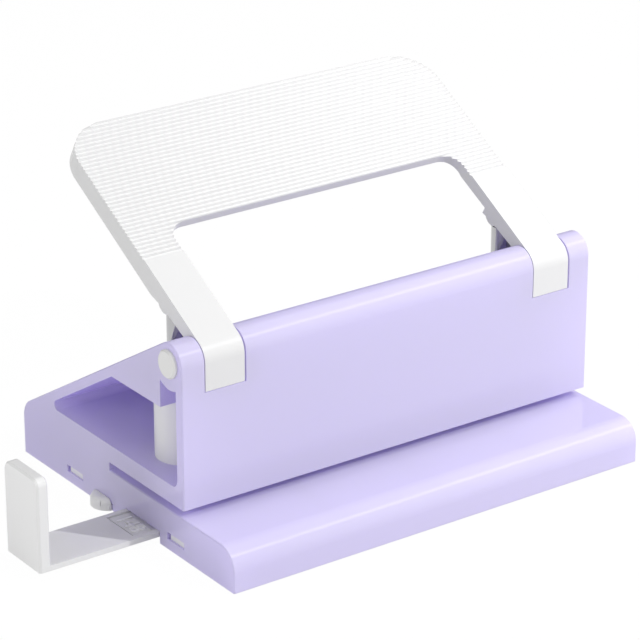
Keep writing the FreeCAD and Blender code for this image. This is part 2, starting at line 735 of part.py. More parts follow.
def biarc(start, start_tangent, end, end_tangent):
    """Two arcs that join two points smoothly and keep both tangents."""
    across = end - start
    both = start_tangent + end_tangent
    bend = 2 * (1 - start_tangent.dot(end_tangent))
    reach = across.dot(both)
    if bend < 1e-9:
        step = across.dot(across) / (2 * reach)
    else:
        step = (math.sqrt(reach * reach + bend * across.dot(across)) - reach) / bend
    joint = (start + start_tangent * step + end - end_tangent * step) * 0.5
    middle_one = arc_between(start, start_tangent, joint, step)
    middle_two = arc_between(end, end_tangent * -1, joint, step)
    return [Part.Arc(start, middle_one, joint), Part.Arc(joint, middle_two, end)]


# The springs are hidden in their sleeves, so the wire has five flats in place of a round
WIRE_SIDES = 5


# Compression spring round each pin: one unbroken wire with its ends square
def make_spring(side):
    wire = value(f"{S}spring_wire")
    mean = (value(f"{S}spring_width") - wire) / 2
    turns = value(f"{S}spring_turns")
    bottom = value(f"{S}deck_height")
    top = value(f"{S}clip_top - {S}clip_thickness - {S}washer_thickness") - 0.02
    lead_turn = 0.12
    lead_rise = wire * 2.2
    coil_low, coil_high = bottom + lead_rise, top - lead_rise
    pitch = (coil_high - coil_low) / turns

    def on_coil(turn):
        angle = 2 * math.pi * turn
        point = FreeCAD.Vector(
            mean * math.cos(angle), mean * math.sin(angle), coil_low + pitch * turn)
        tangent = FreeCAD.Vector(
            -2 * math.pi * mean * math.sin(angle), 2 * math.pi * mean * math.cos(angle), pitch)
        return point, tangent.normalize()

    def foot(turn, height):
        angle = 2 * math.pi * turn
        return FreeCAD.Vector(mean * math.cos(angle), mean * math.sin(angle), height)

    up = FreeCAD.Vector(0, 0, 1)
    quarters = round(turns * 4)
    stations = [on_coil(quarter / 4) for quarter in range(quarters + 1)]
    low_foot, high_foot = foot(-lead_turn, bottom), foot(turns + lead_turn, top)
    low_knee, high_knee = low_foot + up * wire, high_foot - up * wire
    pieces = [Part.LineSegment(low_foot, low_knee)]
    pieces += biarc(low_knee, up, *stations[0])
    for (start, start_tangent), (end, end_tangent) in zip(stations, stations[1:]):
        pieces += biarc(start, start_tangent, end, end_tangent)
    pieces += biarc(*stations[-1], high_knee, up)
    pieces.append(Part.LineSegment(high_knee, high_foot))
    path = Part.Wire([piece.toShape() for piece in pieces])
    corners = [low_foot + FreeCAD.Vector(
        wire / 2 * math.cos(2 * math.pi * side / WIRE_SIDES),
        wire / 2 * math.sin(2 * math.pi * side / WIRE_SIDES), 0)
        for side in range(WIRE_SIDES)]
    ring = Part.makePolygon(corners + corners[:1])
    coil = path.makePipeShell([ring], True, False)
    section = Part.Face(ring).Area
    print(f"spring_{side}: tube volume {coil.Volume:.2f}, section times length"
          f" {section * path.Length:.2f},"
          f" least gap {least_gap(pieces, wire, pitch):.2f} mm")
    spring = doc.addObject("Part::Feature", f"punch_spring_{side}")
    spring.Label = f"punch_spring_{side}"
    spring.Shape = coil
    sign = -1 if side == "left" else 1
    spring.Placement = FreeCAD.Placement(
        FreeCAD.Vector(sign * value(HALF_PITCH), 0, 0), FreeCAD.Rotation())
    return spring


def least_gap(pieces, wire, pitch):
    """Smallest space between turns of a wound wire, from points along its centre line."""
    points = []
    for piece in pieces:
        points += piece.toShape().discretize(9)[:-1]
    run = 0.0
    distances = [0.0]
    for before, after in zip(points, points[1:]):
        run += (after - before).Length
        distances.append(run)
    least = pitch * 10
    for i, first in enumerate(points):
        for j in range(i + 1, len(points)):
            if distances[j] - distances[i] > 4 * wire:
                least = min(least, (points[j] - first).Length)
    return least - wire


# Chip tray: the springy cover that closes the base and carries the paper guide
def make_tray():
    body = new_body("chip_tray")
    left = f"({CAVITY_HALF} - {S}tray_gap)"
    front = f"({CAVITY_FRONT} - {S}tray_gap)"
    rear = f"({CAVITY_REAR} - {S}tray_gap)"
    right = f"({S}tray_axis - 0.4)"
    plan = new_sketch(body, "plate_plan", "XY_Plane")
    rectangle(plan, f"-{left}", right, f"-{front}", rear)
    pad(body, "plate", plan, f"{S}tray_plate")
    soften(body, "hinge_edge", "0.8",
           lambda edge, mid: along(edge, "y") and near(mid.x, right) and near(mid.z, "0"),
           "Chamfer")

    # Low rims along the front and rear keep the chips in
    rims = new_sketch(body, "rim_plan", "XY_Plane", f"{S}tray_plate - 0.2")
    rim_left, rim_right = f"-{left} + 1.7", f"{right} - 2.8"
    rectangle(rims, rim_left, rim_right, f"-{front}", f"-{front} + {S}rim_thickness")
    rectangle(rims, rim_left, rim_right, f"{rear} - {S}rim_thickness", rear)
    pad(body, "rims", rims, f"{S}rim_height")

    # Rails on both sides of the guide's arm, with lips that hold it down
    rails = new_sketch(body, "rail_plan", "XY_Plane", f"{S}tray_plate - 0.2")
    rail_left = f"-{left} + 0.7"
    rectangle(rails, rail_left, rim_right, f"-{S}guide_front - 1.2", f"-{S}guide_front - 0.2")
    rectangle(rails, rail_left, rim_right, f"{S}guide_rear + 0.2", f"{S}guide_rear + 1.2")
    pad(body, "rails", rails, f"{S}rail_height - {S}tray_plate + 0.2")
    lips = new_sketch(body, "lip_plan", "XY_Plane", f"{S}guide_high + 0.1")
    for middle in LIP_PLACES:
        rectangle(lips, f"{middle} - 3", f"{middle} + 3",
                  f"-{S}guide_front - 0.7", f"-{S}guide_front + 0.8")
        rectangle(lips, f"{middle} - 3", f"{middle} + 3",
                  f"{S}guide_rear - 0.8", f"{S}guide_rear + 0.7")
    pad(body, "lips", lips, f"{S}rail_height - {S}guide_high - 0.1")

    # Pull tab outside the left end wall, on a tongue that passes under it
    tongue = new_sketch(body, "tongue_plan", "XY_Plane")
    rectangle(tongue, f"-{HALF_BODY} - 0.6", f"-{left} + 0.5",
              f"{S}tab_middle - {S}tab_half", f"{S}tab_middle + {S}tab_half")
    pad(body, "tongue", tongue, f"{S}tray_plate")
    tab = new_sketch(body, "tab_plan", "XY_Plane")
    wall_face = f"({HALF_BODY} + 0.15)"
    half_chord = f"sqrt({S}tab_radius^2 - ({wall_face} - {S}tab_centre)^2)"
    outline(tab, [
        (f"-{wall_face}", f"{S}tab_middle - {half_chord}"),
        (f"-{wall_face}", f"{S}tab_middle + {half_chord}"),
    ], arcs={1: (f"{S}tab_radius", (f"-{S}tab_centre", f"{S}tab_middle"), 1)})
    pad(body, "tab", tab, f"{S}tab_height")
    soften(body, "tab_round", "1.2",
           lambda edge, mid: near(mid.z, f"{S}tab_height")
           and mid.x < -value(wall_face) - 1)
    nick = new_sketch(body, "tab_nick_plan", "XY_Plane", "0.9")
    nick_side = f"({S}tab_middle - 1.95)"
    nick_face = f"({S}tab_centre + sqrt({S}tab_radius^2 - 1.95^2))"
    rectangle(nick, f"-{nick_face} - 0.5", f"-{nick_face} + 0.3", f"{nick_side} - 0.13",
              f"{nick_side} + 0.13")
    pocket(body, "tab_nick", nick, "1.2", reverse=True)

    # Hooks that click into the windows of the left end wall
    for number, (low, high) in enumerate(HOOK_SPANS, start=1):
        hook = new_sketch(body, f"hook_section_{number}", "XZ_Plane", f"-({high}) + 0.4")
        barb = f"({HALF_BODY} - {HOOK_LIP} - 0.1)"
        outline(hook, [
            (f"-{left} + 1.3", f"{S}tray_plate - 0.2"),
            (f"-{left} + 1.3", f"{S}hook_high + 0.3"),
            (f"-{left} + 0.2", f"{S}hook_high + 0.3"),
            (f"-{barb}", f"{S}hook_high - 0.3"),
            (f"-{barb}", f"{S}hook_low - 0.1"),
            (f"-{left}", f"{S}hook_low - 0.4"),
            (f"-{left}", f"{S}tray_plate - 0.2"),
        ])
        pad(body, f"hook_{number}", hook, f"{high} - ({low}) - 0.6")

    # Lugs that reach into the right end wall and form the hinge
    lugs = new_sketch(body, "lug_plan", "XY_Plane", f"{S}lug_low")
    for low, high in LUG_SPANS:
        rectangle(lugs, f"{right} - 1", f"{CAVITY_HALF} + 0.9", low, high)
    pad(body, "lugs", lugs, f"{S}lug_height")
    for name, (low, high) in zip(("front", "rear"), LUG_SPANS):
        knuckle = new_sketch(body, f"{name}_knuckle_section", "XZ_Plane", f"-({high})")
        circle(knuckle, f"{S}tray_axis", f"{S}hinge_height", f"{S}knuckle_radius")
        pad(body, f"{name}_knuckle", knuckle, f"{high} - ({low})")
    return body


# Paper guide: a flat arm that slides along the tray, with an upright stop
def make_guide():
    body = new_body("paper_guide")
    arm = new_sketch(body, "arm_plan", "XY_Plane", f"{S}guide_low")
    rectangle(arm, f"-{S}guide_outer + 0.5", f"{S}guide_end", f"-{S}guide_front",
              f"{S}guide_rear")
    pad(body, "arm", arm, f"{S}guide_high - {S}guide_low")
    stop = new_sketch(body, "stop_section", "YZ_Plane", f"-{S}guide_outer")
    rectangle(stop, f"-{S}guide_front", f"{S}guide_rear", f"{S}guide_low", f"{S}guide_top")
    pad(body, "stop", stop, f"{S}guide_plate")
    soften(body, "stop_front_round", "1.6",
           lambda edge, mid: along(edge, "x") and near(mid.z, f"{S}guide_top") and mid.y < 0)
    soften(body, "stop_rear_round", "2.0",
           lambda edge, mid: along(edge, "x") and near(mid.z, f"{S}guide_top") and mid.y > 0)
    soften(body, "stop_outer_bevel", "0.4",
           lambda edge, mid: near(mid.x, f"-{S}guide_outer") and mid.z > 2, "Chamfer")
    soften(body, "stop_inner_bevel", "0.3",
           lambda edge, mid: near(mid.x, f"-{S}guide_outer + {S}guide_plate") and mid.z > 3,
           "Chamfer")

    # Shallow channel along the arm that carries the paper marks
    channel = new_sketch(body, "channel_plan", "XY_Plane", f"{S}guide_high")
    rectangle(channel, f"-{S}mark_start", f"{S}guide_end - 2", f"-{S}mark_front",
              f"{S}mark_rear")
    pocket(body, "mark_channel", channel, f"{S}mark_depth")
    return body


makers = [make_housing, make_handle, make_tray, make_guide]
parts = [maker() for maker in makers]
for end in ("left", "right"):
    for maker in (make_pivot_pin, make_punch_pin, make_clip, make_washer, make_sleeve,
                  make_die_bush, make_spring):
        parts.append(maker(end))
doc.recompute()

for item in doc.Objects:
    if "Invalid" in item.State or "Error" in item.State:
        raise RuntimeError(f"{item.Label} failed: {item.State}")
for part in parts:
    if part.Shape.isNull() or not part.Shape.isValid():
        raise RuntimeError(f"{part.Label} has no valid shape")

os.makedirs("parts", exist_ok=True)
for part in parts:
    part.Shape.exportStep(f"parts/{part.Label}.step")
    box = part.Shape.BoundBox
    print(f"{part.Label}: {len(part.Shape.Solids)} solid, {part.Shape.Volume:.0f} mm3,"
          f" x {box.XMin:.2f} {box.XMax:.2f} y {box.YMin:.2f} {box.YMax:.2f}"
          f" z {box.ZMin:.2f} {box.ZMax:.2f}")
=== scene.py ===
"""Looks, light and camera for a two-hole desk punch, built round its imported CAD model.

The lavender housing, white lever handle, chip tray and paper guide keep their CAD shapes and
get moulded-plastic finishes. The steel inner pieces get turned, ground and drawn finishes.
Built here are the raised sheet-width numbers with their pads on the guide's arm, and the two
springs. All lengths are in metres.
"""

from __future__ import annotations

import json
import logging
import math
from dataclasses import dataclass
from enum import Enum

import bmesh
import bpy
from mathutils import Matrix, Vector

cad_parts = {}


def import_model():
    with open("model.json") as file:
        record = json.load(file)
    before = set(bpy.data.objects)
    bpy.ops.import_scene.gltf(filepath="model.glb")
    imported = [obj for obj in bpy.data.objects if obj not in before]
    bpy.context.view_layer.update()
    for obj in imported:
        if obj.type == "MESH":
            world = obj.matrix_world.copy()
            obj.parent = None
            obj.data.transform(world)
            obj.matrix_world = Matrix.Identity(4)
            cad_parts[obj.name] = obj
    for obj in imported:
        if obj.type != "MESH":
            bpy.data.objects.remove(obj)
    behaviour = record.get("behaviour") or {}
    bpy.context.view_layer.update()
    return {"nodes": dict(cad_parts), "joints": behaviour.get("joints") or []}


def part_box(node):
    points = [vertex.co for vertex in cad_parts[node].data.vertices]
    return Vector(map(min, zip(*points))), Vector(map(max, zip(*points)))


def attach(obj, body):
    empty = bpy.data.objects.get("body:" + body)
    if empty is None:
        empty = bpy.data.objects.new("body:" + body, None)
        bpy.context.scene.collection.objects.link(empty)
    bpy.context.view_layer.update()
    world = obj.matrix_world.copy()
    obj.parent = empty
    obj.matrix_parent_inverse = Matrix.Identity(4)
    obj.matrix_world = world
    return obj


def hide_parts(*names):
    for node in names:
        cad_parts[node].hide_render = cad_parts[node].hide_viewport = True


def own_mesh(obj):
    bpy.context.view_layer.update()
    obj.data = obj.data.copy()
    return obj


MM = 0.001
BEVEL_SAMPLES = 6
# A face counts as level or upright when this share of its normal is along that axis
SQUARE_ON = 0.9
SIDES = ("left", "right")
log = logging.getLogger("punch")

Colour = tuple[float, float, float]


class Axis(Enum):
    """Axis of the lathe or of the drawing die that left its lines on a steel piece."""

    X = "X"
    Z = "Z"


class Seen(Enum):
    """Kinds of ray that meet the plain white surroundings in place of the lit ones."""

    CAMERA = "Is Camera Ray"
    GLOSSY = "Is Glossy Ray"
    TRANSMISSION = "Is Transmission Ray"


class NodeSheet:
    """The node tree of one material or world, with short ways to add to it."""

    def __init__(self, owner: bpy.types.Material | bpy.types.World) -> None:
        """Empty the owner's node tree.

        Args:
            owner: The material or world whose nodes are replaced.
        """
        owner.use_nodes = True
        self.tree = owner.node_tree
        self.tree.nodes.clear()

    def add(self, kind: str, **values: object) -> bpy.types.Node:
        """Add one node.

        Args:
            kind: The node's type without the ShaderNode prefix.
            **values: Socket values or links, with spaces in names written as underscores,
                or settings of the node itself.

        Returns:
            The new node.
        """
        node = self.tree.nodes.new(f"ShaderNode{kind}")
        for key, value in values.items():
            name = key.replace("_", " ")
            socket = node.inputs.get(name)
            if socket is None:
                setattr(node, key, value)
            elif isinstance(value, bpy.types.NodeSocket):
                self.tree.links.new(value, socket)
            else:
                socket.default_value = value
        return node

    def math(self, operation: str, first: object, second: object) -> bpy.types.NodeSocket:
        """Combine two numbers or sockets.

        Args:
            operation: Blender's name of the operation.
            first: A number or an output socket.
            second: A number or an output socket.

        Returns:
            The result's socket.
        """
        node = self.tree.nodes.new("ShaderNodeMath")
        node.operation = operation
        for socket, value in zip(node.inputs, (first, second)):
            if isinstance(value, bpy.types.NodeSocket):
                self.tree.links.new(value, socket)
            else:
                socket.default_value = value
        return node.outputs[0]

    def spread(self, value: bpy.types.NodeSocket, low: float, high: float) -> bpy.types.NodeSocket:
        """Map a socket that runs from 0 to 1 onto the range low to high.

        Args:
            value: The socket to map.
            low: Result at 0.
            high: Result at 1.

        Returns:
            The mapped socket.
        """
        node = self.add("MapRange", Value=value)
        node.inputs["To Min"].default_value = low
        node.inputs["To Max"].default_value = high
        return node.outputs["Result"]

    def tint(self, fac: bpy.types.NodeSocket, low: Colour, high: Colour) -> bpy.types.NodeSocket:
        """Run from one colour to another.

        Args:
            fac: Where between the two, from 0 to 1.
            low: Linear colour at 0.
            high: Linear colour at 1.

        Returns:
            The colour's socket.
        """
        node = self.add("ValToRGB", Fac=fac)
        for stop, colour in zip(node.color_ramp.elements, (low, high)):
            stop.color = (*colour, 1.0)
        return node.outputs["Color"]

    def mix(self, share: object, first: bpy.types.Node, second: bpy.types.Node) -> bpy.types.Node:
        """Mix two shaders.

        Args:
            share: How much of the second shows, as a number or a socket.
            first: A shader node.
            second: A shader node.

        Returns:
            The node that mixes them.
        """
        node = self.add("MixShader", Fac=share)
        self.tree.links.new(first.outputs[0], node.inputs[1])
        self.tree.links.new(second.outputs[0], node.inputs[2])
        return node

    def finish(self, shader: bpy.types.Node) -> None:
        """Connect a shader node to a new output.

        Args:
            shader: The node whose first output is shown.
        """
        kind = "OutputWorld" if shader.bl_idname == "ShaderNodeBackground" else "OutputMaterial"
        output = self.add(kind)
        self.tree.links.new(shader.outputs[0], output.inputs["Surface"])


@dataclass(frozen=True)
class MouldedPlastic:
    """Injection-moulded plastic with fine grain, flow drift and softened edges.

    A share of the light passes through its thin walls, in a deeper colour. Above a given height
    a ribbed grip can get painted light on its level treads and painted shade on its upright
    risers.
    """

    name: str
    colour: Colour
    shade: Colour
    roughness: float = 0.30
    specular: float = 0.5
    grain: float = 0.35 * MM
    grain_depth: float = 0.0006 * MM
    edge: float = 0.08 * MM
    flow: float = 28 * MM
    smear: float = 6 * MM
    swing: float = 0.05
    through: float = 0.0
    through_colour: Colour = (1.0, 1.0, 1.0)
    tread: float = 1.0
    riser: float = 1.0
    steps_above: float = 0.0

    def build(self) -> bpy.types.Material:
        """Build the material.

        Returns:
            The finished material.
        """
        material = bpy.data.materials.new(self.name)
        sheet = NodeSheet(material)
        place = sheet.add("TexCoord").outputs["Object"]
        flow = sheet.add("TexNoise", Vector=place, Scale=1 / self.flow, Detail=3.0)
        grain = sheet.add("TexNoise", Vector=place, Scale=1 / self.grain, Detail=2.0)
        smear = sheet.add("TexNoise", Vector=place, Scale=1 / self.smear, Detail=5.0)
        colour = sheet.tint(flow.outputs["Fac"], self.shade, self.colour)
        # painted light on the grip's level treads and painted shade on its upright risers
        if self.steps_above > 0:
            colour = self.step(sheet, colour)
        swing = min(self.swing, self.roughness / 3)
        rough = sheet.spread(smear.outputs["Fac"], self.roughness - swing, self.roughness + swing)
        bump = sheet.add("Bump", Height=grain.outputs["Fac"], Distance=self.grain_depth,
                         Strength=1.0)
        if self.edge > 0:
            corner = sheet.add("Bevel", Radius=self.edge, samples=BEVEL_SAMPLES)
            sheet.tree.links.new(corner.outputs["Normal"], bump.inputs["Normal"])
        shader = sheet.add("BsdfPrincipled", Base_Color=colour, Roughness=rough,
                           Normal=bump.outputs["Normal"])
        shader.inputs["Specular IOR Level"].default_value = self.specular
        if self.through > 0:
            passing = sheet.add("BsdfTranslucent", Color=(*self.through_colour, 1.0),
                                Normal=bump.outputs["Normal"])
            shader = sheet.mix(self.through, shader, passing)
        sheet.finish(shader)
        return material

    def step(self, sheet: NodeSheet, colour: bpy.types.NodeSocket) -> bpy.types.NodeSocket:
        """Paint light onto the level treads and shade onto the upright risers above the given
        height.

        Args:
            sheet: The node tree to add to.
            colour: The colour of all other faces.

        Returns:
            The colour of all faces.
        """
        where = sheet.add("TexCoord")
        facing = sheet.add("SeparateXYZ", Vector=where.outputs["Normal"])
        height = sheet.add("SeparateXYZ", Vector=where.outputs["Object"]).outputs["Z"]
        above = sheet.math("GREATER_THAN", height, self.steps_above)
        # masks for the painted light on treads and the painted shade on risers
        tread = sheet.math("GREATER_THAN", facing.outputs["Z"], SQUARE_ON)
        riser = sheet.math("LESS_THAN", facing.outputs["Y"], -SQUARE_ON)
        change = sheet.math("ADD", sheet.math("MULTIPLY", tread, self.tread - 1.0),
                            sheet.math("MULTIPLY", riser, self.riser - 1.0))
        share = sheet.math("ADD", sheet.math("MULTIPLY", above, change), 1.0)
        return sheet.add("VectorMath", operation="SCALE", Vector=colour,
                         Scale=share).outputs["Vector"]


@dataclass(frozen=True)
class WorkedSteel:
    """Bright or blackened steel with fine lines left by turning, grinding or drawing."""

    name: str
    colour: Colour
    axis: Axis = Axis.Z
    roughness: float = 0.16
    line: float = 0.06 * MM
    line_depth: float = 0.0006 * MM
    edge: float = 0.12 * MM
    stain: float = 3 * MM
    stain_share: float = 0.86
    smoother: float = 0.06
    rougher: float = 0.08

    def build(self) -> bpy.types.Material:
        """Build the material.

        Returns:
            The finished material.
        """
        material = bpy.data.materials.new(self.name)
        sheet = NodeSheet(material)
        place = sheet.add("TexCoord").outputs["Object"]
        across = 1 / self.line
        scale = (across, 1.0, 1.0) if self.axis is Axis.X else (1.0, 1.0, across)
        lines_at = sheet.add("Mapping", Vector=place, Scale=scale)
        lines = sheet.add("TexNoise", Vector=lines_at.outputs["Vector"], Scale=1.0, Detail=2.0)
        stain = sheet.add("TexNoise", Vector=place, Scale=1 / self.stain, Detail=4.0)
        darker = tuple(self.stain_share * level for level in self.colour)
        colour = sheet.tint(stain.outputs["Fac"], darker, self.colour)
        rough = sheet.spread(lines.outputs["Fac"], self.roughness - self.smoother,
                             self.roughness + self.rougher)
        corner = sheet.add("Bevel", Radius=self.edge, samples=BEVEL_SAMPLES)
        bump = sheet.add("Bump", Height=lines.outputs["Fac"], Distance=self.line_depth,
                         Strength=1.0, Normal=corner.outputs["Normal"])
        shader = sheet.add("BsdfPrincipled", Base_Color=colour, Roughness=rough, Metallic=1.0,
                           Normal=bump.outputs["Normal"])
        sheet.finish(shader)
        return material


@dataclass(frozen=True)
class SleevePlastic:
    """Matt unpainted plastic with slight cloudiness, used where a sleeve guides a spring."""

    name: str
    colour: Colour
    shade: Colour
    roughness: float = 0.45

    def build(self) -> bpy.types.Material:
        """Build the material.

        Returns:
            The finished material.
        """
        base = MouldedPlastic(self.name, self.colour, self.shade, self.roughness,
                              grain=0.2 * MM, grain_depth=0.002 * MM, edge=0.06 * MM)
        return base.build()


@dataclass(frozen=True)
class Palette:
    """All finishes of the punch, by the CAD nodes that wear them."""

    lavender: Colour = (0.832, 0.802, 0.95)
    lavender_shade: Colour = (0.822, 0.792, 0.94)
    lavender_glow: Colour = (0.72, 0.64, 0.995)
    white: Colour = (0.75, 0.75, 0.752)
    white_shade: Colour = (0.74, 0.74, 0.742)
    # painted light on the grip's treads and painted shade on its risers, as shares of the white
    tread_share: float = 1.22
    riser_share: float = 0.94
    tray_white: Colour = (0.83, 0.83, 0.83)
    guide_white: Colour = (0.84, 0.84, 0.84)
    guide_shade: Colour = (0.80, 0.80, 0.80)
    # lighter than the guide's white: a painted highlight that makes the raised figures show as
    # their lit edges would
    figure_white: Colour = (0.95, 0.95, 0.95)
    warm_white: Colour = (0.81, 0.81, 0.80)
    milky: Colour = (0.81, 0.81, 0.81)
    milky_shade: Colour = (0.79, 0.79, 0.79)
    bright_steel: Colour = (0.50, 0.50, 0.51)
    dark_steel: Colour = (0.10, 0.10, 0.11)
    zinc: Colour = (0.55, 0.56, 0.58)

    def dress(self, nodes: dict[str, bpy.types.Object]) -> dict[str, bpy.types.Material]:
        """Give every CAD node its finish.

        Args:
            nodes: The CAD nodes by name.

        Returns:
            The materials by the name of the piece they were made for.
        """
        shell = MouldedPlastic("lavender_plastic", self.lavender, self.lavender_shade,
                               roughness=0.04, specular=0.6, grain_depth=0.0002 * MM, through=0.35,
                               through_colour=self.lavender_glow)
        # the lever's grip gets painted light on its treads and painted shade on its risers
        lever = MouldedPlastic("lever_white", self.white, self.white_shade, roughness=0.22,
                               grain_depth=0.0, edge=0.0, tread=self.tread_share,
                               riser=self.riser_share, steps_above=48 * MM)
        tray = MouldedPlastic("tray_white", self.tray_white, self.tray_white, roughness=0.36)
        guide = MouldedPlastic("guide_white", self.guide_white, self.guide_shade,
                               roughness=0.22)
        head = MouldedPlastic("pivot_white", self.warm_white, self.warm_white)
        sleeve = SleevePlastic("sleeve_plastic", self.milky, self.milky_shade)
        pin = WorkedSteel("ground_steel", self.bright_steel, roughness=0.08)
        clip = WorkedSteel("black_spring_steel", self.dark_steel, roughness=0.32)
        washer = WorkedSteel("zinc_steel", self.zinc, roughness=0.28)
        wire = WorkedSteel("drawn_wire", self.zinc, roughness=0.24, line=0.15 * MM)
        bush = WorkedSteel("turned_steel", self.zinc, roughness=0.2, line=0.1 * MM)
        finishes = {
            "body_housing": shell, "handle": lever, "chip_tray": tray, "paper_guide": guide,
            "pivot_pin": head, "punch_pin": pin, "retaining_clip": clip,
            "spring_washer": washer, "punch_spring": wire, "spring_sleeve": sleeve,
            "die_bush": bush,
        }
        built = {piece: finish.build() for piece, finish in finishes.items()}
        # the raised figures wear a lighter white, a painted highlight
        built["figures"] = MouldedPlastic("figure_white", self.figure_white,
                                          self.figure_white).build()
        for name, node in nodes.items():
            piece = name
            for side in SIDES:
                piece = piece.removesuffix(f"_{side}")
            node.data.materials.clear()
            node.data.materials.append(built[piece])
            log.info("%s wears %s", name, built[piece].name)
        return built


@dataclass
class GuideScale:
    """Raised sheet widths in millimetres on pads in the channel along the guide's arm.

    A pad's near side meets the housing's end wall when the guide stands where a sheet of
    that width is punched in its middle.
    """

    plastic: bpy.types.Material
    # the figures' material, lighter than the arm: a painted highlight
    paint: bpy.types.Material
    sheet_widths: tuple[int, ...] = (148, 210, 297)
    digit_height: float = 3.3 * MM
    digit_share: float = 0.69
    digit_steps: int = 3
    stroke: float = 0.07 * MM
    relief: float = 0.17 * MM
    pad_height: float = 0.22 * MM
    pad_edge: float = 0.06 * MM
    plate: float = 2.45 * MM
    arm_top: float = 2.5 * MM
    channel_depth: float = 0.4 * MM
    groove: float = 0.35 * MM
    gap: float = 0.5 * MM
    channel: tuple[float, float] = (-4.5 * MM, 5.2 * MM)

    def build(self, wall_face: float) -> list[bpy.types.Object]:
        """Build the numbers and the pad under each.

        Args:
            wall_face: X of the housing's left face, where the pads' near sides are read.

        Returns:
            The pads and numbers, riding on the guide.
        """
        low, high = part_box("paper_guide")
        inner_face = low.x + self.plate
        floor = self.arm_top - self.channel_depth
        pieces = []
        for width in self.sheet_widths:
            travel = -inner_face - width * MM / 2
            at = wall_face - travel
            if at < high.x:
                pieces.append(self.pad(width, at, floor))
                pieces.append(self.number(width, at, floor + self.pad_height))
        return pieces

    def number(self, width: int, at: float, base: float) -> bpy.types.Object:
        """Build one raised number that reads from the left end.

        Args:
            width: The sheet width in millimetres.
            at: X of its pad's near side.
            base: Height of the pad's top.

        Returns:
            The number as a mesh.
        """
        curve = bpy.data.curves.new(f"sheet_width_{width}", "FONT")
        curve.body = str(width)
        curve.size = self.digit_height / self.digit_share
        curve.extrude = self.relief / 2
        curve.offset = self.stroke
        curve.align_x = "CENTER"
        curve.align_y = "CENTER"
        curve.resolution_u = self.digit_steps
        holder = bpy.data.objects.new(curve.name, curve)
        bpy.context.scene.collection.objects.link(holder)
        bpy.context.view_layer.update()
        mesh = bpy.data.meshes.new_from_object(holder.evaluated_get(
            bpy.context.evaluated_depsgraph_get()))
        bpy.data.objects.remove(holder)
        bpy.data.curves.remove(curve)
        across = at - self.gap - self.digit_height / 2
        turn = Matrix.Rotation(-math.pi / 2, 4, "Z")
        place = Matrix.Translation((across, self.middle, base + self.relief / 2))
        mesh.transform(place @ turn)
        mesh.name = f"sheet_width_{width}"
        return self.dress(mesh, self.paint)

    @property
    def middle(self) -> float:
        """Y of the channel's middle line."""
        return (self.channel[0] + self.channel[1]) / 2

    def pad(self, width: int, at: float, floor: float) -> bpy.types.Object:
        """Build the low pad that carries a number, with a groove all round it.

        Args:
            width: The sheet width in millimetres.
            at: X of the pad's near side.
            floor: Height of the channel's floor.

        Returns:
            The pad as a mesh.
        """
        long = self.digit_height + 2 * self.gap
        wide = self.channel[1] - self.channel[0] - 2 * self.groove
        shape = bmesh.new()
        bmesh.ops.create_cube(shape, size=1.0)
        bmesh.ops.scale(shape, vec=(long, wide, self.pad_height), verts=shape.verts)
        top = [edge for edge in shape.edges if all(vert.co.z > 0 for vert in edge.verts)]
        bmesh.ops.bevel(shape, geom=top, offset=self.pad_edge, segments=2, affect="EDGES")
        place = (at - long / 2, self.middle, floor + self.pad_height / 2)
        bmesh.ops.translate(shape, vec=place, verts=shape.verts)
        mesh = bpy.data.meshes.new(f"sheet_pad_{width}")
        shape.to_mesh(mesh)
        shape.free()
        return self.dress(mesh, self.plastic)

    def dress(self, mesh: bpy.types.Mesh, material: bpy.types.Material) -> bpy.types.Object:
        """Put a mesh on the guide.

        Args:
            mesh: The finished mesh.
            material: The material it wears.

        Returns:
            The object that carries it.
        """
        mesh.materials.clear()
        mesh.materials.append(material)
        piece = bpy.data.objects.new(mesh.name, mesh)
        bpy.context.scene.collection.objects.link(piece)
        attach(piece, "guide")
        log.info("%s rides on the guide", piece.name)
        return piece


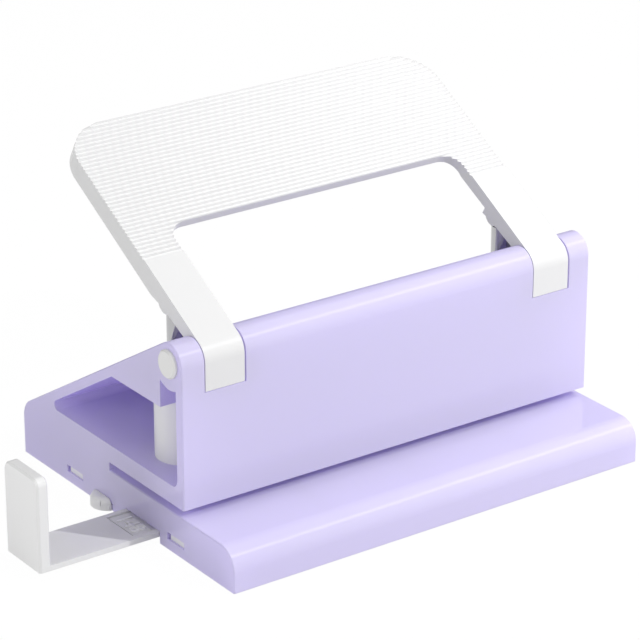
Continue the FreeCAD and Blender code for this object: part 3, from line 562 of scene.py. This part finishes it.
@dataclass
class PressedCoil:
    """Compression spring of round drawn wire with closed ends, pressed by its punch pin.

    It stands for the CAD spring of its side, whose place and height it keeps.
    """

    side: str
    material: bpy.types.Material
    wire: float = 0.9 * MM
    closed_rise: float = 0.95 * MM
    active_turns: int = 3
    clearance: float = 0.01 * MM
    steps: int = 32
    wire_sides: int = 10

    @property
    def turns(self) -> int:
        """All turns of the wire, with one closed turn at each end."""
        return self.active_turns + 2

    def build(self, travel: float) -> bpy.types.Object:
        """Build the spring where the CAD has it.

        Args:
            travel: The pin's full travel. Not used.

        Returns:
            The spring.
        """
        low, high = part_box(f"punch_spring_{self.side}")
        foot = Vector(((low.x + high.x) / 2, 0.0, low.z))
        coil = bpy.data.objects.new(f"coil_{self.side}", self.wind(foot, high))
        bpy.context.scene.collection.objects.link(coil)
        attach(coil, "housing")
        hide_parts(f"punch_spring_{self.side}")
        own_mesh(coil)
        log.info("%s stands for its CAD spring", coil.name)
        return coil

    def wind(self, foot: Vector, high: Vector) -> bpy.types.Mesh:
        """Wind the wire from the spring's foot up.

        Args:
            foot: The lower end of the spring's axis.
            high: Highest corner of the box that the spring fills.

        Returns:
            The wire as a closed mesh.
        """
        radius = high.y - self.clearance - self.wire / 2
        shape = bmesh.new()
        rings = []
        for step in range(self.turns * self.steps + 1):
            turn = step / self.steps
            out = Vector((math.cos(2 * math.pi * turn), math.sin(2 * math.pi * turn), 0.0))
            middle = foot + out * radius
            middle.z = self.rise(turn, foot.z, high.z)
            rings.append(self.ring(shape, middle, out))
        for before, after in zip(rings, rings[1:]):
            for index in range(self.wire_sides):
                follow = (index + 1) % self.wire_sides
                side = shape.faces.new((before[index], before[follow],
                                        after[follow], after[index]))
                side.smooth = True
        for ring in (rings[0], rings[-1]):
            shape.faces.new(ring)
        bmesh.ops.recalc_face_normals(shape, faces=shape.faces)
        mesh = bpy.data.meshes.new(f"coil_{self.side}")
        shape.to_mesh(mesh)
        shape.free()
        mesh.materials.append(self.material)
        return mesh

    def rise(self, turn: float, low: float, high: float) -> float:
        """Find the height of the wire's middle, which climbs slowly in both closed turns.

        Args:
            turn: Place along the wire, in turns from its lower end.
            low: Height of the spring's foot.
            high: Height of the spring's head.

        Returns:
            The height.
        """
        first = low + self.wire / 2
        last = high - self.clearance - self.wire / 2
        pitch = (last - first - 2 * self.closed_rise) / self.active_turns
        if turn <= 1:
            return first + self.closed_rise * turn
        if turn >= self.active_turns + 1:
            return last - self.closed_rise * (self.turns - turn)
        return first + self.closed_rise + pitch * (turn - 1)

    def ring(self, shape: bmesh.types.BMesh, middle: Vector,
             out: Vector) -> list[bmesh.types.BMVert]:
        """Add one ring of the wire's section.

        Args:
            shape: The mesh to add to.
            middle: The middle of the section.
            out: The direction away from the spring's axis.

        Returns:
            The ring's points.
        """
        points = []
        for index in range(self.wire_sides):
            around = 2 * math.pi * index / self.wire_sides
            points.append(shape.verts.new(
                middle + self.wire / 2 * (math.cos(around) * out
                                          + math.sin(around) * Vector((0.0, 0.0, 1.0)))))
        return points


@dataclass(frozen=True)
class Lamp:
    """A round or oval lamp that faces the punch from a bearing, height and distance.

    A lamp that shines shows only in the gloss, and any other lamp only in the soft light.
    """

    name: str
    bearing: float
    height: float
    reach: float
    width: float
    power: float
    tall: float = 0.0
    shines: bool = False

    def build(self, aim: Vector) -> None:
        """Build the lamp.

        Args:
            aim: The point it faces. Bearings count in degrees from the front to the right.
        """
        turn, rise = math.radians(self.bearing), math.radians(self.height)
        away = Vector((math.sin(turn) * math.cos(rise), -math.cos(turn) * math.cos(rise),
                       math.sin(rise)))
        light = bpy.data.lights.new(self.name, "AREA")
        light.shape = "ELLIPSE"
        light.size = self.width
        light.size_y = self.tall or self.width
        light.energy = self.power
        lamp = bpy.data.objects.new(self.name, light)
        lamp.visible_glossy = self.shines
        lamp.visible_diffuse = not self.shines
        lamp.location = aim + away * self.reach
        lamp.rotation_euler = (-away).to_track_quat("-Z", "Y").to_euler()
        bpy.context.scene.collection.objects.link(lamp)


@dataclass
class Studio:
    """White surroundings, a pale floor, a dark card, a small key lamp and large soft ones."""

    surround: float = 0.38
    white: float = 1.015
    floor_width: float = 6.0
    floor_colour: Colour = (0.65, 0.65, 0.65)
    floor_drop: float = 0.05 * MM
    contact: float = 0.5 * MM
    shadow_share: float = 0.03
    flag_size: tuple[float, float, float] = (0.45, 2.4, 1.0)
    flag_colour: Colour = (0.03, 0.03, 0.03)
    aim: tuple[float, float, float] = (0.0, 0.0, 25 * MM)
    lamps: tuple[Lamp, ...] = (
        Lamp("key", 32.8, 40.0, 0.75, 0.02, 2.4),
        Lamp("front", 12.0, 20.0, 1.2, 0.8, 2.3),
        Lamp("top", 20.0, 75.0, 0.8, 0.5, 0.6),
        Lamp("right", 75.0, 40.0, 0.3, 0.2, 0.42),
        Lamp("left", -90.0, 14.0, 0.27, 0.15, 0.175),
        Lamp("sparkle", 50.0, 46.0, 0.75, 0.6, 0.6, tall=0.13, shines=True),
    )

    def build(self) -> None:
        """Build the world, the floor, the card and the lamps."""
        self.world()
        self.floor()
        self.flag()
        for lamp in self.lamps:
            lamp.build(Vector(self.aim))

    def seen(self, sheet: NodeSheet) -> bpy.types.NodeSocket:
        """Find out whether a ray sees the plain white surroundings.

        Args:
            sheet: The node tree that asks.

        Returns:
            A socket that is 1 for such rays and 0 for all others.
        """
        path = sheet.add("LightPath")
        total = path.outputs[Seen.CAMERA.value]
        for kind in (Seen.GLOSSY, Seen.TRANSMISSION):
            total = sheet.math("MAXIMUM", total, path.outputs[kind.value])
        return total

    def world(self) -> None:
        """Build white surroundings that give an even light."""
        world = bpy.data.worlds.new("studio")
        bpy.context.scene.world = world
        sheet = NodeSheet(world)
        strength = sheet.spread(self.seen(sheet), self.surround, self.white)
        background = sheet.add("Background", Color=(1.0, 1.0, 1.0, 1.0), Strength=strength)
        sheet.finish(background)

    def sheet_of(self, name: str, width: float, height: float) -> bpy.types.Object:
        """Build a flat rectangle that belongs to the studio.

        Args:
            name: The name of the object and its mesh.
            width: Its size along X.
            height: Its size along Y.

        Returns:
            The rectangle, centred on the origin.
        """
        shape = bmesh.new()
        bmesh.ops.create_grid(shape, x_segments=1, y_segments=1, size=0.5)
        bmesh.ops.scale(shape, vec=(width, height, 1.0), verts=shape.verts)
        mesh = bpy.data.meshes.new(name)
        shape.to_mesh(mesh)
        shape.free()
        flat = bpy.data.objects.new(name, mesh)
        bpy.context.scene.collection.objects.link(flat)
        return flat

    def floor(self) -> None:
        """Build the floor, which shows the white behind it and keeps a faint shadow.

        From below it hides nothing, so that the opened tray shows and is lit.
        """
        material = bpy.data.materials.new("floor_pale")
        sheet = NodeSheet(material)
        plain = sheet.add("BsdfDiffuse", Color=(*self.floor_colour, 1.0))
        clear = sheet.add("BsdfTransparent")
        touching = sheet.math("LESS_THAN", sheet.add("LightPath").outputs["Ray Length"],
                              self.contact)
        share = sheet.math("MULTIPLY", self.seen(sheet), 1 - self.shadow_share)
        for passing in (touching, sheet.add("NewGeometry").outputs["Backfacing"]):
            share = sheet.math("MAXIMUM", share, passing)
        sheet.finish(sheet.mix(share, plain, clear))
        floor = self.sheet_of("floor", self.floor_width, self.floor_width)
        floor.data.materials.append(material)
        floor.location.z = -self.floor_drop

    def flag(self) -> None:
        """Build the dark card behind, which shows only in the gloss and draws the far edges."""
        material = bpy.data.materials.new("flag_dark")
        sheet = NodeSheet(material)
        sheet.finish(sheet.add("BsdfDiffuse", Color=(*self.flag_colour, 1.0)))
        distance, width, height = self.flag_size
        card = self.sheet_of("flag", width, height)
        card.data.materials.append(material)
        card.location = (0.0, distance, height / 2)
        card.rotation_euler.x = math.pi / 2
        card.visible_camera = False
        card.visible_diffuse = False
        card.visible_transmission = False
        card.visible_shadow = False


@dataclass
class Viewpoint:
    """The camera of the photograph, found by fitting the punch's corners to it."""

    place: tuple[float, float, float] = (-338.79 * MM, -463.62 * MM, 277.24 * MM)
    aim: tuple[float, float, float] = (-17.914 * MM, -15.0 * MM, 42.521 * MM)
    lens: float = 174.47
    sensor: float = 36.0
    sight: float = 20.0

    def build(self) -> None:
        """Build the camera and make it the scene's own."""
        data = bpy.data.cameras.new("photograph")
        data.lens = self.lens
        data.sensor_width = self.sensor
        data.clip_end = self.sight
        camera = bpy.data.objects.new("photograph", data)
        camera.location = self.place
        look = Vector(self.aim) - Vector(self.place)
        camera.rotation_euler = look.to_track_quat("-Z", "Y").to_euler()
        bpy.context.scene.collection.objects.link(camera)
        bpy.context.scene.camera = camera


def clear_defaults() -> None:
    """Remove the objects that Blender starts with."""
    for name in ("Camera", "Light", "Cube"):
        item = bpy.data.objects.get(name)
        if item is not None:
            bpy.data.objects.remove(item)


def main() -> None:
    """Build the whole scene in order."""
    logging.basicConfig(level=logging.INFO, format="%(name)s: %(message)s")
    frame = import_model()
    clear_defaults()
    bpy.context.scene.view_settings.view_transform = "Standard"
    materials = Palette().dress(frame["nodes"])
    wall_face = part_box("body_housing")[0].x
    GuideScale(materials["paper_guide"], materials["figures"]).build(wall_face)
    travel = {joint["name"]: joint["range_m"][1] for joint in frame["joints"]
              if joint["name"].startswith("punch_slide")}
    for side in SIDES:
        PressedCoil(side, materials["punch_spring"]).build(travel[f"punch_slide_{side}"])
    Studio().build()
    Viewpoint().build()


if __name__ == "__main__":
    main()
